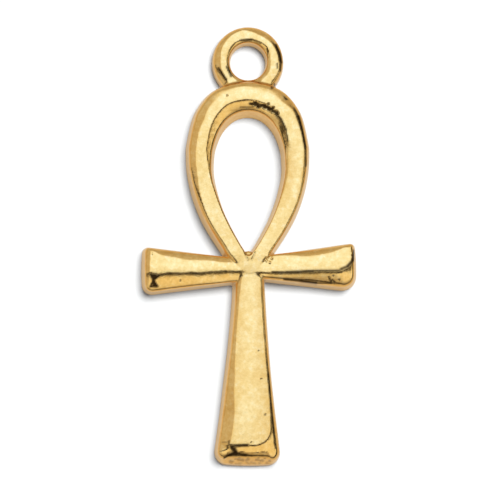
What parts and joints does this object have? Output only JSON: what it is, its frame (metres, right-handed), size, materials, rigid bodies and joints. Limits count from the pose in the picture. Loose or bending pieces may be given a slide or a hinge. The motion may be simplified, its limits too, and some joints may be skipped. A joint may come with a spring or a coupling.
{
  "type": "ankh pendant charm",
  "caption": "Cast metal ankh charm plated in bright gold colour: a teardrop loop over flared arms and a widening shaft, with a round hanging eye on top.",
  "frame": {"origin": "centre of the charm's outline in X and Y, on the plane of its flat back", "axes": "+X along the arms to the right arm, +Y up the ankh to the hanging eye, +Z out of the front; the charm lies on its back on Z = 0"},
  "size_m": [0.0156, 0.032, 0.0024],
  "materials": {
    "gold_plate": "bright gold plating over a cast zinc alloy"
  },
  "bodies": {
    "root": {"ankh_casting": "gold_plate"}
  },
  "joints": []
}
